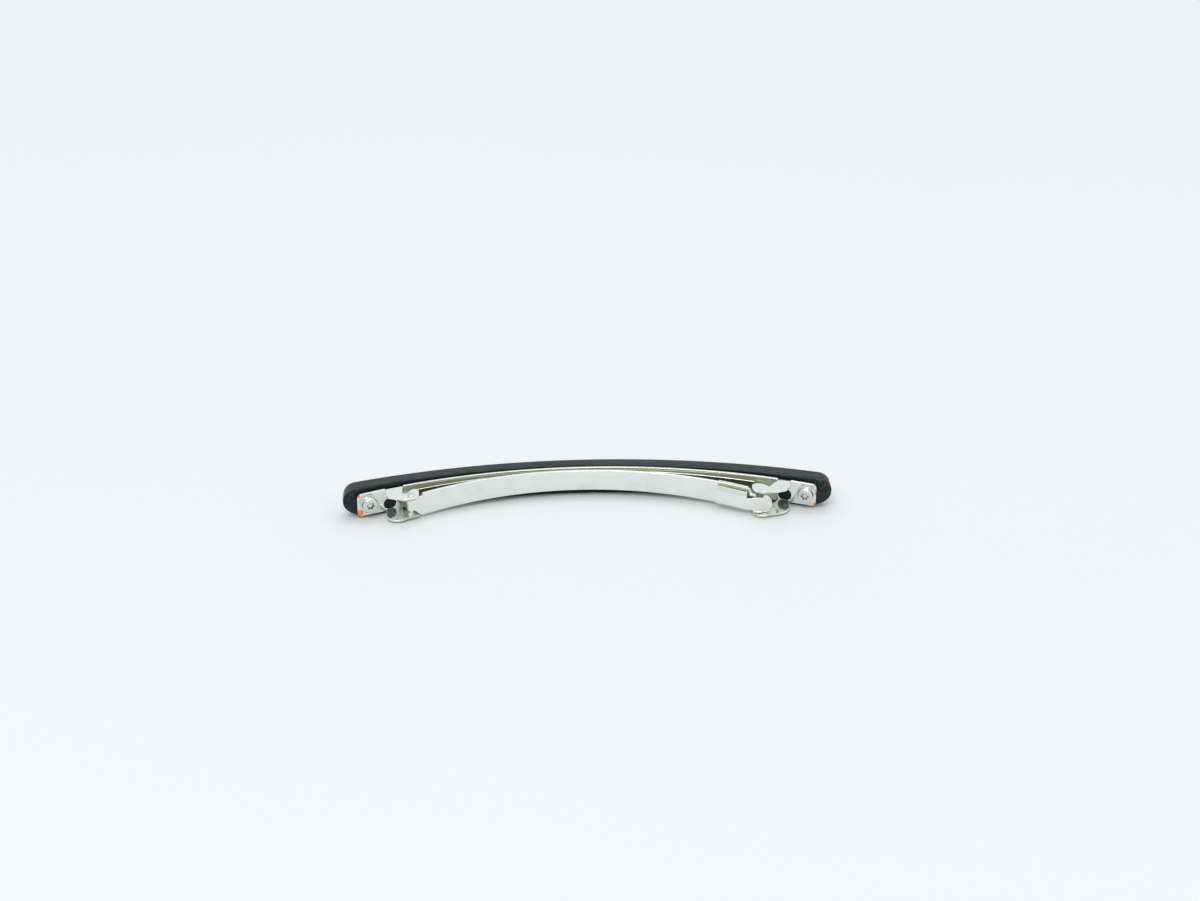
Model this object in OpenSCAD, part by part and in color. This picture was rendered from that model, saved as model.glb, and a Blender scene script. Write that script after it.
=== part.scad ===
// Bowed hair clip: a black bar with a sheet-metal snap clasp screwed to its inner face.
// The bar stands on its long edge. X runs along the bar, -Y is the clasp's side, Z is up.
// The origin is the centre of the footprint, on the surface that the bar stands on.

/* [Bar] */
// Length of the black bar from end to end
bar_len = 102.5; // [100:0.5:110]
// Height of the bar as it stands on its long edge
bar_h = 7; // [6.8:0.1:9]
// Thickness of the bar at its middle
bar_mid_t = 2.7; // [2.4:0.1:4]
// Radius of the bar's concave inner face
bar_in_r = 135.4; // [134:0.2:136]
// Radius of the bar's convex outer face
bar_out_r = 152; // [148:1:158]
// Radius of the bar's lower corners seen from the front
bar_low_r = 4.4; // [3:0.1:4.4]
// Radius of the bar's upper corners seen from the front
bar_top_r = 2.4; // [0.8:0.1:2.4]

/* [Clasp on the bar] */
// Lean of the clasp away from upright
clasp_lean = 5; // [0:0.5:5]
// Height of the clasp's centre line
clasp_z = 3.4; // [3.35:0.05:3.8]
// How far the line that the clasp leans about lies in front of the bar's inner apex
lean_line = 8.2; // [8.2:0.05:8.4]
// How far the base plate's back lies behind the lean line at its middle
plate_back = 7.93; // [7.7:0.01:7.93]

/* [Base plate] */
// Width of the base plate's strip
plate_w = 5.4; // [5.2:0.1:5.6]
// Thickness of the base plate's sheet
plate_t = 0.5; // [0.4:0.05:0.6]
// Reach of the base plate to the left of the middle
plate_left = 48.3; // [47.8:0.1:49]
// Reach of the base plate to the right of the middle
plate_right = 48.1; // [47.8:0.1:49]
// Corner radius of the two screw tabs
tab_corner_r = 0.9; // [0.4:0.1:1.5]

/* [Lever] */
// Radius of the lever's bow along the middle of its sheet
lever_r = 74.5; // [74.5:0.1:74.6]
// Thickness of the lever's sheet
lever_t = 0.5; // [0.4:0.05:0.5]
// Width of the lever near its ends
lever_end_w = 5.3; // [5:0.02:5.3]
// Width of the lever at its middle
lever_mid_w = 4.8; // [4.6:0.1:5]
// Reach of the rolled knuckle above the clasp's centre line
knuckle_top = 2.1; // [1.6:0.05:2.1]
// Reach of the rolled knuckle below the clasp's centre line
knuckle_bottom = 0.75; // [0.6:0.05:1.5]

/* [Hinge pin] */
// Diameter of the hinge pin
pin_d = 0.9; // [0.7:0.05:0.9]
// Diameter of the hinge pin's riveted head
pin_head_d = 1.7; // [1.4:0.1:2]

/* [Tension spring] */
// Radius of the spring's bow along the middle of its sheet
spring_r = 115; // [112:1:118]
// Thickness of the spring's sheet
spring_t = 0.35; // [0.25:0.05:0.4]
// Width of the spring
spring_w = 4.1; // [3.6:0.1:4.2]

/* [Screws] */
// Diameter of the screw heads
screw_head_d = 3.25; // [3:0.05:3.4]
// Height of the screw heads above their washer step
screw_head_h = 1.2; // [1:0.1:1.4]
// Diameter of the washer step under the heads
screw_step_d = 3.8; // [3.6:0.1:3.9]
// Diameter of the screws' shanks
screw_shank_d = 1.9; // [1.6:0.1:2]

/* [Hidden] */
$fn = 64;

// Side counts of the wide bows and of the small rounds
bow_fn = 720;
small_fn = 48;

// Clearances between pieces of the clasp
pin_gap = 0.05;
rest_gap = 0.04;

function sag(r, x) = r - sqrt(r * r - x * x);

// The clasp's frame has u along X, v away from the viewer and w up, and leans by clasp_lean
function plate_back_v(u) = plate_back - sag(bar_in_r, u);

// Front edge of the catch wings, which with the bar's back face sets the footprint
wing_front_out = 8.05;
wing_front_u = 36.2;
wing_front_v = plate_back_v(wing_front_u) - wing_front_out;
wing_rise = 2.74;
front_y = -lean_line + wing_front_v * cos(clasp_lean) - wing_rise * sin(clasp_lean);
y_shift = -(bar_mid_t + front_y) / 2;

// Screw places along the plate and across it, and the bores that take the screws
screw_left_u = -46.1;
screw_right_u = 46.2;
screw_w = 0.35;
screw_bore_d = screw_shank_d + 0.1;
screw_depth = 2.4;
screw_step_h = 0.3;

// Hinge
pivot_u = -37;
pivot_v = -1.6;
lever_mid_u = -1.3;
lever_apex_v = 6.65;
lever_centre_v = lever_apex_v - lever_r;
knuckle_in_r = pin_d / 2 + pin_gap;
knuckle_out_r = knuckle_in_r + lever_t;

// Where the lever's sheet touches the roll round the pin, where it ends in the sleeve, its
// shoulders at the roll, its tip, and how far it lies above the clasp's centre line
lever_root_u = pivot_u + 0.36;
lever_tip_u = 35.2;
top_shoulder = [-35.05, -34.5];
bottom_shoulder = [-36.7, -34.7];
lever_tip_w = 3.8;
lever_lift = 0.2;

// Stretch of the lever that the sleeve wraps, where the lever's lower edge steps in
lever_sleeved_top_w = 2.75;
lever_sleeved_bottom_w = -1.75;
lever_step_gap = 0.2;
sleeve_from_u = 27.4;
sleeve_to_u = 33.9;

// Outlines of the hinge ears: u along the plate, out towards the viewer from the plate's back
ear_back_rows = [
    [-35.3, 4.6], [-35.4, 3.4], [-35.7, 2.35], [-36.75, 2.25], [-37.5, 2.85],
    [-37.85, 3.55], [-38.75, 3.35], [-38.8, 0.2]
];
upper_ear_rows = concat([
    [-42.3, 0.2], [-41.9, 3.2], [-41.5, 3.8], [-39.6, 4.9], [-38.6, 5.7], [-37.5, 6.15],
    [-36.3, 6.1], [-35.6, 5.7], [-35.3, 5]
], ear_back_rows);
lower_ear_rows = concat([
    [-42.3, 0.2], [-42.1, 3.6], [-41.6, 4.5], [-40.6, 5.4], [-39.3, 5.85], [-38.5, 5.65],
    [-37.6, 5.35], [-36.6, 5.3], [-35.6, 5.1]
], ear_back_rows);

// Arm of a catch wing, in the same columns, and the pad at its tip
arm_rows = [
    [42.7, 0.2], [42.4, 3.4], [41.9, 4.4], [41.3, 5.25], [39.8, 6.25], [37.5, 7.5], [36.4, 6],
    [36.8, 4.6], [38.1, 4.55], [39.1, 2.65], [40.2, 0.8], [40.3, 0.2]
];
pad_r = 1.9;
pad_near_out = 5.6;
pad_far_out = 6.15;
crease_u = 37.6;
pad_flare = 3;
wing_fold_u = 41.5;
upper_wing_splay = 7.4;

// Cut-outs of the base plate: from u, to u, from w, to w
left_cutout = [-42.85, -40.25, -2.3, 0.4];
right_cutout = [40.4, 43.05, -2.35, 0.5];
cutout_r = 1.28;

// Ends of the tension spring, and the tab at its right end
spring_from_u = -36.9;
spring_to_u = 35.25;
spring_tab_u = 36.5;
spring_tab_w = 2;

// Section of the end sleeve: out from the middle of the lever's sheet, and height w
sleeve_rows = [
    [-0.65, 2.75], [-0.65, -1.9], [-0.35, -2.35], [0.75, -2.35], [1.15, -2.1], [1.3, -1.6],
    [1.3, 1.2], [0.78, 2.2], [0.46, 2.05], [0.95, 1.1], [0.95, -1.55], [0.7, -2.0],
    [-0.2, -2.0], [-0.3, -1.8], [-0.3, 2.75]
];

// Tongue of the end sleeve: distance along it from its root, and height w
tongue_rows = [
    [0, -1.9], [3.4, -1.9], [3.75, -2.1], [4.4, -2.08], [5.1, -1.55], [5.5, -0.8],
    [5.6, 0], [5.5, 0.8], [5.1, 1.55], [4.4, 2.08], [3.85, 2.1], [3.7, 1.35],
    [2.6, 1.3], [0.9, 0.85], [0, 0.82]
];
tongue_root_u = 33;
tongue_root_v = -3.2;
tongue_slope = 10;
tongue_t = 0.35;
lip_reach = 0.75;
lip_from = 1.7;
lip_to = 3.6;
lip_bottom_w = -2.1;
lip_top_w = -1.75;

// Riveted heads of the hinge pin: height, standoff and taper of the upper and lower one
pin_upper_head = [0.14, 0.02, 0.3];
pin_lower_head = [0.12, 0.02, 0.2];

// Chamfer of the screw heads, and their six-lobed recess
head_chamfer_h = 0.35;
head_chamfer_d = 0.5;
recess_depth = 1.1;
recess_core_d = 1.2;
recess_lobe_d = 0.44;
recess_ring_r = 0.62;

module clasp_frame() {
    translate([0, y_shift - lean_line, clasp_z])
        rotate([clasp_lean, 0, 0])
            children();
}

// Puts children on the plate at u, with y = 0 at its back and -y towards the viewer
module on_plate(u) {
    translate([0, plate_back - bar_in_r, 0])
        rotate([0, 0, -asin(u / bar_in_r)])
            translate([0, bar_in_r, 0])
                children();
}

// Flat band between two circles of one centre, cut to a stretch of u
module bow_band(centre_u, centre_v, r, t, from_u, to_u) {
    intersection() {
        translate([centre_u, centre_v])
            difference() {
                circle(r = r, $fn = bow_fn);
                circle(r = r - t, $fn = bow_fn);
            }
        translate([from_u, centre_v + r / 2])
            square([to_u - from_u, r]);
    }
}

module rounded_box_outline(from_u, to_u, from_w, to_w, r) {
    translate([from_u + r, from_w])
        square([to_u - from_u - 2 * r, to_w - from_w]);
    translate([from_u, from_w + r])
        square([to_u - from_u, to_w - from_w - 2 * r]);
    for (u = [from_u + r, to_u - r], w = [from_w + r, to_w - r])
        translate([u, w])
            circle(r = r, $fn = small_fn);
}

// Extrudes an outline drawn in u and w through the clasp's whole depth
module through_front() {
    translate([0, 30, 0])
        rotate([90, 0, 0])
            linear_extrude(height = 60)
                children();
}

// Extrudes an outline drawn in u and v between two heights
module slab(from_w, to_w) {
    translate([0, 0, from_w])
        linear_extrude(height = to_w - from_w)
            children();
}

module screw_bore(u, d, depth) {
    on_plate(u)
        translate([0, depth, screw_w])
            rotate([90, 0, 0])
                cylinder(d = d, h = depth + 1, $fn = small_fn);
}

// What a corner of an outline loses when it is rounded
module corner_cut(r) {
    difference() {
        translate([-1, -1])
            square(r + 1);
        translate([r, r])
            circle(r = r, $fn = 2 * small_fn);
    }
}

module bar_outline() {
    difference() {
        translate([-bar_len / 2, 0])
            square([bar_len, bar_h]);
        for (side = [0, 1])
            mirror([side, 0]) {
                translate([-bar_len / 2, 0])
                    corner_cut(bar_low_r);
                translate([-bar_len / 2, bar_h])
                    mirror([0, 1])
                        corner_cut(bar_top_r);
            }
    }
}

module bar() {
    color("#17181a")
        difference() {
            translate([0, y_shift, 0])
                intersection() {
                    linear_extrude(height = bar_h)
                        difference() {
                            intersection() {
                                translate([0, bar_mid_t - bar_out_r])
                                    circle(r = bar_out_r, $fn = bow_fn);
                                translate([-bar_len / 2 - 1, -20])
                                    square([bar_len + 2, 30]);
                            }
                            translate([0, -bar_in_r])
                                circle(r = bar_in_r, $fn = bow_fn);
                        }
                    translate([0, 10, 0])
                        rotate([90, 0, 0])
                            linear_extrude(height = 30)
                                bar_outline();
                }
            clasp_frame() {
                screw_bore(screw_left_u, screw_bore_d, screw_depth + 0.1);
                screw_bore(screw_right_u, screw_bore_d, screw_depth + 0.1);
            }
        }
}

// Flat outline of a folded side piece from rows of u and distance out of the plate's back
module folded_outline(rows) {
    polygon([for (row = rows) [row[0], plate_back_v(row[0]) - row[1]]]);
}

module hinge_ear(rows) {
    difference() {
        slab(plate_w / 2 - plate_t, plate_w / 2)
            offset(r = 0.25, $fn = small_fn)
                offset(delta = -0.25)
                    folded_outline(rows);
        translate([pivot_u, pivot_v, 0])
            cylinder(d = pin_d + 2 * pin_gap, h = plate_w, $fn = small_fn);
    }
}

module wing_pad() {
    translate([crease_u, 0, plate_w / 2 - plate_t])
        rotate([0, pad_flare, 0])
            translate([-crease_u, plate_back_v(wing_front_u), 0])
                linear_extrude(height = plate_t) {
                    for (out = [pad_near_out, pad_far_out])
                        translate([wing_front_u, -out])
                            circle(r = pad_r, $fn = small_fn);
                    translate([wing_front_u - pad_r, -pad_far_out])
                        square([2 * pad_r, pad_far_out - pad_near_out]);
                }
}

module catch_wing(splay) {
    fold_v = plate_back_v(wing_fold_u) - plate_t / 2;
    fold_w = (plate_w - plate_t) / 2;
    translate([0, fold_v, fold_w])
        rotate([-splay, 0, 0])
            translate([0, -fold_v, -fold_w]) {
                slab(plate_w / 2 - plate_t, plate_w / 2)
                    offset(r = 0.25, $fn = small_fn)
                        offset(delta = -0.25)
                            folded_outline(arm_rows);
                wing_pad();
            }
}

module cutout(box) {
    rounded_box_outline(box[0], box[1], box[2], box[3], cutout_r);
}

module base_plate() {
    color("#d8d9d6")
        clasp_frame() {
            difference() {
                intersection() {
                    slab(-plate_w / 2, plate_w / 2)
                        bow_band(0, plate_back - bar_in_r, bar_in_r, plate_t, -plate_left - 1, plate_right + 1);
                    through_front()
                        rounded_box_outline(-plate_left, plate_right, -plate_w / 2, plate_w / 2, tab_corner_r);
                }
                through_front() {
                    cutout(left_cutout);
                    cutout(right_cutout);
                }
                screw_bore(screw_left_u, screw_bore_d + 0.1, 1);
                screw_bore(screw_right_u, screw_bore_d + 0.1, 1);
            }
            hinge_ear(upper_ear_rows);
            catch_wing(upper_wing_splay);
            mirror([0, 0, 1]) {
                hinge_ear(lower_ear_rows);
                catch_wing(0);
            }
        }
}

module tension_spring() {
    spring_centre_v = plate_back - plate_t - rest_gap - spring_r;
    color("#c9cbc4")
        clasp_frame()
            intersection() {
                slab(-spring_w / 2, spring_w / 2)
                    bow_band(0, spring_centre_v, spring_r, spring_t, spring_from_u, spring_tab_u);
                through_front() {
                    rounded_box_outline(spring_from_u, spring_to_u, -spring_w / 2, spring_w / 2, 0.4);
                    translate([spring_to_u - 1, -spring_tab_w / 2])
                        square([spring_tab_u - spring_to_u + 1, spring_tab_w]);
                }
            }
}

// Half width of the lever's sheet at u: a slight waist, and shoulders down to the knuckle
function waist(u) =
    lever_mid_w / 2 + (lever_end_w - lever_mid_w) / 2 * pow((u - lever_mid_u) / (top_shoulder[1] - lever_mid_u), 2);
function ease(u, span) = (1 - cos(180 * min(max((u - span[0]) / (span[1] - span[0]), 0), 1))) / 2;
function lever_top_w(u) = knuckle_top + (waist(u) + lever_lift - knuckle_top) * ease(u, top_shoulder);
function lever_bottom_w(u) =
    -knuckle_bottom - (waist(u) - lever_lift - knuckle_bottom) * ease(u, bottom_shoulder);

module lever_outline() {
    us = concat(
        [pivot_u - 2],
        [for (k = [0:12]) bottom_shoulder[0] + k * (bottom_shoulder[1] - bottom_shoulder[0]) / 12],
        [for (u = [-30:5:25]) u],
        [sleeve_from_u - lever_step_gap]
    );
    polygon(concat(
        [for (u = us) [u, lever_top_w(u)]],
        [[sleeve_from_u, lever_sleeved_top_w], [sleeve_to_u, lever_sleeved_top_w]],
        [[sleeve_to_u + 0.3, lever_tip_w / 2], [lever_tip_u, lever_tip_w / 2]],
        [[lever_tip_u, lever_sleeved_bottom_w], [sleeve_from_u - lever_step_gap, lever_sleeved_bottom_w]],
        [for (k = [len(us) - 1:-1:0]) [us[k], lever_bottom_w(us[k])]]
    ));
}

module lever() {
    color("#e3e4e1")
        clasp_frame()
            intersection() {
                slab(lever_lift - lever_end_w / 2, lever_lift + lever_end_w / 2)
                    difference() {
                        union() {
                            bow_band(
                                lever_mid_u, lever_centre_v, lever_r + lever_t / 2, lever_t,
                                lever_root_u, lever_tip_u
                            );
                            translate([pivot_u, pivot_v])
                                circle(r = knuckle_out_r, $fn = small_fn);
                        }
                        translate([pivot_u, pivot_v])
                            circle(r = knuckle_in_r, $fn = small_fn);
                    }
                through_front()
                    lever_outline();
            }
}

module end_sleeve() {
    from_angle = acos((sleeve_to_u - lever_mid_u) / lever_r);
    to_angle = acos((sleeve_from_u - lever_mid_u) / lever_r);
    color("#eceded")
        clasp_frame() {
            translate([lever_mid_u, lever_centre_v, 0])
                rotate([0, 0, from_angle])
                    rotate_extrude(angle = to_angle - from_angle, $fn = bow_fn)
                        polygon([for (row = sleeve_rows) [lever_r - row[0], row[1]]]);
            translate([tongue_root_u, tongue_root_v, 0])
                rotate([0, 0, -tongue_slope]) {
                    translate([0, tongue_t, 0])
                        rotate([90, 0, 0])
                            linear_extrude(height = tongue_t)
                                polygon(tongue_rows);
                    slab(lip_bottom_w, lip_top_w)
                        rounded_box_outline(lip_from, lip_to, -lip_reach, tongue_t, 0.3);
                }
        }
}

module riveted_head(head) {
    translate([0, 0, head[1]])
        cylinder(d1 = pin_head_d, d2 = pin_head_d - head[2], h = head[0], $fn = small_fn);
}

module hinge_pin() {
    color("#cfd0cc")
        clasp_frame()
            translate([pivot_u, pivot_v, 0]) {
                translate([0, 0, -plate_w / 2 - 0.04])
                    cylinder(d = pin_d, h = plate_w + 0.08, $fn = small_fn);
                translate([0, 0, plate_w / 2])
                    riveted_head(pin_upper_head);
                translate([0, 0, -plate_w / 2])
                    mirror([0, 0, 1])
                        riveted_head(pin_lower_head);
            }
}

// One screw on the plate at u, seen from the viewer's side along its own axis
module screw(u) {
    seat = plate_t + rest_gap;
    top = seat + screw_step_h + screw_head_h;
    color("#d9dad8")
        clasp_frame()
            on_plate(u)
                translate([0, 0, screw_w])
                    rotate([90, 0, 0])
                        difference() {
                            union() {
                                translate([0, 0, -screw_depth])
                                    cylinder(d = screw_shank_d, h = screw_depth + seat + 0.1, $fn = small_fn);
                                translate([0, 0, seat])
                                    cylinder(d = screw_step_d, h = screw_step_h, $fn = small_fn);
                                translate([0, 0, seat + screw_step_h])
                                    cylinder(d = screw_head_d, h = screw_head_h - head_chamfer_h, $fn = small_fn);
                                translate([0, 0, top - head_chamfer_h])
                                    cylinder(
                                        d1 = screw_head_d, d2 = screw_head_d - head_chamfer_d,
                                        h = head_chamfer_h, $fn = small_fn
                                    );
                            }
                            translate([0, 0, top - recess_depth]) {
                                cylinder(d = recess_core_d, h = recess_depth + 1, $fn = small_fn);
                                for (lobe = [0:5])
                                    rotate([0, 0, 60 * lobe])
                                        translate([recess_ring_r, 0, 0])
                                            cylinder(d = recess_lobe_d, h = recess_depth + 1, $fn = 24);
                            }
                        }
}

module screw_left() {
    screw(screw_left_u);
}

module screw_right() {
    screw(screw_right_u);
}

bar();
base_plate();
tension_spring();
lever();
end_sleeve();
hinge_pin();
screw_left();
screw_right();
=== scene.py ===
import math

import bmesh
import bpy
from mathutils import Matrix, Vector
from mathutils.geometry import delaunay_2d_cdt


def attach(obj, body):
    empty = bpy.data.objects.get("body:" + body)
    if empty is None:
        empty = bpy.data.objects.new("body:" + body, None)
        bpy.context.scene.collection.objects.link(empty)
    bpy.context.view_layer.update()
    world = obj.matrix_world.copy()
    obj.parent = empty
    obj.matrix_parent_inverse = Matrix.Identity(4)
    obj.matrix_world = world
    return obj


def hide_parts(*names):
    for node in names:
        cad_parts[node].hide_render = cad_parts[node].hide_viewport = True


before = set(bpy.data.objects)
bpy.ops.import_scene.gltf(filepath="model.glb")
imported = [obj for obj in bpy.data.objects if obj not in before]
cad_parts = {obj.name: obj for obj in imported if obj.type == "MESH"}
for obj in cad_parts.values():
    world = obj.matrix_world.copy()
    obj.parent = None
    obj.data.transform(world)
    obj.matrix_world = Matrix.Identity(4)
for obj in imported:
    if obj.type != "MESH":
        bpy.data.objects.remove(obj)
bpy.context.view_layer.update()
scene = bpy.context.scene


# The bar
# One bowed length of black horn or acetate, sawn from sheet, sanded satin along its long
# edges and polished on its broad faces. Its long edges are also painted lighter grey, a
# painted sheen for the light they catch from above. The clasp is screwed to its hollow side.
MILLIMETRE = 0.001
BAR_HOLLOW_RADIUS = 135.4
BAR_MIDDLE_LINE = 5.384
BAR_SIZES = {
    "Length": 102.5,
    "Height": 7.0,
    "Middle thickness": 2.7,
    "Hollow radius": BAR_HOLLOW_RADIUS,
    "Back radius": 152.0,
    "Low reach": 6.3,
    "Low rise": 4.4,
    "Top radius": 2.4,
    "Edge radius": 0.6,
    "Middle line": BAR_MIDDLE_LINE,
}
BAR_STATIONS = 260
BAR_RING = 48
BAR_FILED_FROM = 44.5
BAR_FILED_TO = 48.5
HORN_BLACK = (0.0045, 0.0050, 0.0055, 1)
# Grey of dust, and of a painted sheen on the bar's long edges
HORN_DUST_AND_SHEEN = (0.060, 0.082, 0.084, 1)


class Gauge:
    """A number read along a piece. Arithmetic on gauges lays down the math nodes."""

    def __init__(self, tree, source):
        self.tree = tree
        self.source = source.outputs[0] if isinstance(source, bpy.types.Node) else source

    def step(self, operation, *others):
        node = add_node(self.tree, "ShaderNodeMath", operation=operation)
        for socket, value in zip(node.inputs, (self, *others)):
            feed(self.tree, socket, value)
        return Gauge(self.tree, node)

    def __add__(self, other):
        return self.step("ADD", other)

    def __sub__(self, other):
        return self.step("SUBTRACT", other)

    def __mul__(self, other):
        return self.step("MULTIPLY", other)

    def __truediv__(self, other):
        return self.step("DIVIDE", other)

    def __abs__(self):
        return self.step("ABSOLUTE")

    def root(self):
        return self.step("SQRT")

    def above(self, least):
        return self.step("MAXIMUM", least)

    def below(self, most):
        return self.step("MINIMUM", most)

    def ramp(self, low, high, out_low=0.0, out_high=1.0, kind="SMOOTHSTEP"):
        feeds = {
            "Value": self, "From Min": low, "From Max": high, "To Min": out_low, "To Max": out_high,
        }
        return Gauge(self.tree, add_node(self.tree, "ShaderNodeMapRange", feeds, interpolation_type=kind))


def feed(tree, socket, value):
    """Links a socket to a gauge, a node or another socket, or sets its plain value."""
    if isinstance(value, Gauge):
        value = value.source
    elif isinstance(value, bpy.types.Node):
        value = value.outputs[0]
    if isinstance(value, bpy.types.NodeSocket):
        tree.links.new(value, socket)
    else:
        socket.default_value = value


def add_node(tree, kind, feeds=None, **settings):
    """A node with its settings made and its inputs fed by name."""
    node = tree.nodes.new(kind)
    for setting, value in settings.items():
        setattr(node, setting, value)
    for key, value in (feeds or {}).items():
        feed(tree, node.inputs[key], value)
    return node


def axes(tree, vector):
    """The X, Y and Z of a vector as gauges."""
    split = add_node(tree, "ShaderNodeSeparateXYZ", {"Vector": vector})
    return [Gauge(tree, out) for out in split.outputs]


def join_axes(tree, x=0.0, y=0.0, z=0.0):
    return add_node(tree, "ShaderNodeCombineXYZ", {"X": x, "Y": y, "Z": z})


def moved(tree, geometry, translation=(0, 0, 0), rotation=(0, 0, 0), scale=(1, 1, 1)):
    """Geometry that is scaled, turned and shifted as a whole."""
    feeds = {"Geometry": geometry, "Translation": translation, "Rotation": rotation, "Scale": scale}
    return add_node(tree, "GeometryNodeTransform", feeds)


def reshaped(tree, geometry, x, y, z):
    """Geometry with each of its points sent to a place worked out for it."""
    feeds = {"Geometry": geometry, "Position": join_axes(tree, x, y, z)}
    return add_node(tree, "GeometryNodeSetPosition", feeds)


def swept(tree, start, end, stations, section):
    """A straight bar of a closed section, with its ends filled, ready to be bowed."""
    path = add_node(tree, "GeometryNodeCurvePrimitiveLine", {"Start": start, "End": end})
    steps = add_node(tree, "GeometryNodeResampleCurve", {"Curve": path, "Count": stations})
    feeds = {"Curve": steps, "Profile Curve": section, "Fill Caps": True}
    return add_node(tree, "GeometryNodeCurveToMesh", feeds)


def open_shape_tree(name, sizes):
    """A geometry tree with one named input for each size and one for the material."""
    tree = bpy.data.node_groups.new(name, "GeometryNodeTree")
    for size in sizes:
        tree.interface.new_socket(name=size, in_out="INPUT", socket_type="NodeSocketFloat")
    tree.interface.new_socket(name="Material", in_out="INPUT", socket_type="NodeSocketMaterial")
    tree.interface.new_socket(name="Geometry", in_out="OUTPUT", socket_type="NodeSocketGeometry")
    inlet = tree.nodes.new("NodeGroupInput")
    return tree, inlet, {size: Gauge(tree, inlet.outputs[size]) for size in sizes}


def piece_from_tree(name, tree, inlet, geometry, material, sizes):
    """Ends a tree drawn in millimetres, runs it with its sizes and keeps a plain mesh."""
    scaled = moved(tree, geometry, scale=(MILLIMETRE,) * 3)
    real = add_node(tree, "GeometryNodeRealizeInstances", {"Geometry": scaled})
    feeds = {"Geometry": real, "Material": inlet.outputs["Material"]}
    painted = add_node(tree, "GeometryNodeSetMaterial", feeds)
    add_node(tree, "NodeGroupOutput", {"Geometry": painted})
    piece = bpy.data.objects.new(name, bpy.data.meshes.new(name))
    scene.collection.objects.link(piece)
    shaper = piece.modifiers.new("Shape", "NODES")
    shaper.node_group = tree
    values = {**sizes, "Material": material}
    for socket in tree.interface.items_tree:
        if socket.in_out == "INPUT":
            shaper[socket.identifier] = values[socket.name]
    evener = piece.modifiers.new("Even faces", "WEIGHTED_NORMAL")
    evener.keep_sharp = True
    evener.weight = 80
    depsgraph = bpy.context.evaluated_depsgraph_get()
    made = bpy.data.meshes.new_from_object(
        piece.evaluated_get(depsgraph), preserve_all_data_layers=True, depsgraph=depsgraph
    )
    made.name = name
    piece.modifiers.clear()
    piece.data = made
    return piece


def open_effect(name, inputs, outputs):
    """A shader group for an effect that several finishes share."""
    tree = bpy.data.node_groups.new(name, "ShaderNodeTree")
    for label, value in inputs.items():
        kind = "NodeSocketVector" if isinstance(value, tuple) else "NodeSocketFloat"
        socket = tree.interface.new_socket(name=label, in_out="INPUT", socket_type=kind)
        socket.default_value = value
    for label in outputs:
        tree.interface.new_socket(name=label, in_out="OUTPUT", socket_type="NodeSocketFloat")
    return tree, tree.nodes.new("NodeGroupInput").outputs


def place_effect(tree, effect, feeds):
    """The masks that a shared effect gives with one finish's own values."""
    node = add_node(tree, "ShaderNodeGroup", feeds, node_tree=effect)
    return {out.name: Gauge(tree, out) for out in node.outputs}


def noise(tree, place, scale, detail, roughness=0.5):
    feeds = {"Vector": place, "Scale": scale, "Detail": detail, "Roughness": roughness}
    return Gauge(tree, add_node(tree, "ShaderNodeTexNoise", feeds))


# Fine lengthwise polishing streaks with a softer cloudiness under them, on Object coordinates
streaks, streaks_in = open_effect(
    "Polishing streaks",
    {"Place": (0.0, 0.0, 0.0), "Length": 60.0, "Fineness": 2500.0, "Cloud size": 180.0},
    ["Streaks", "Clouds"],
)
streaks_map = join_axes(streaks, streaks_in["Length"], streaks_in["Fineness"], streaks_in["Fineness"])
streaks_stretched = add_node(
    streaks, "ShaderNodeVectorMath", {0: streaks_in["Place"], 1: streaks_map}, operation="MULTIPLY"
)
streak_masks = {
    "Streaks": noise(streaks, streaks_stretched, 1.0, 5.0, 0.6),
    "Clouds": noise(streaks, streaks_in["Place"], streaks_in["Cloud size"], 4.0, 0.55),
}
add_node(streaks, "NodeGroupOutput", streak_masks)


def open_finish(name):
    """A material with its Principled shader and the piece's own coordinates."""
    material = bpy.data.materials.new(name)
    material.use_nodes = True
    tree = material.node_tree
    return material, tree, tree.nodes.new("ShaderNodeTexCoord").outputs


def close_finish(tree, feeds):
    """Feeds the shader's own sockets with plain values and with what changes over the surface."""
    shader = tree.nodes["Principled BSDF"]
    for key, value in feeds.items():
        feed(tree, shader.inputs[key], value)


def polish(tree, place, length, fineness, cloud_size):
    """The streaks and the clouds of one finish."""
    marks = place_effect(
        tree, streaks,
        {"Place": place["Object"], "Length": length, "Fineness": fineness, "Cloud size": cloud_size},
    )
    return marks["Streaks"], marks["Clouds"]


def relief_bump(tree, height, strength, depth):
    return add_node(tree, "ShaderNodeBump", {"Height": height, "Strength": strength, "Distance": depth})


def mix_colours(tree, factor, first, second):
    node = add_node(tree, "ShaderNodeMix", {"Factor": factor}, data_type="RGBA")
    tints = [socket for socket in node.inputs if socket.type == "RGBA"]
    feed(tree, tints[0], first)
    feed(tree, tints[1], second)
    return [socket for socket in node.outputs if socket.type == "RGBA"][0]


horn, horn_tree, horn_place = open_finish("black horn")
horn_streaks, horn_clouds = polish(horn_tree, horn_place, length=90.0, fineness=3200.0, cloud_size=420.0)
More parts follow.
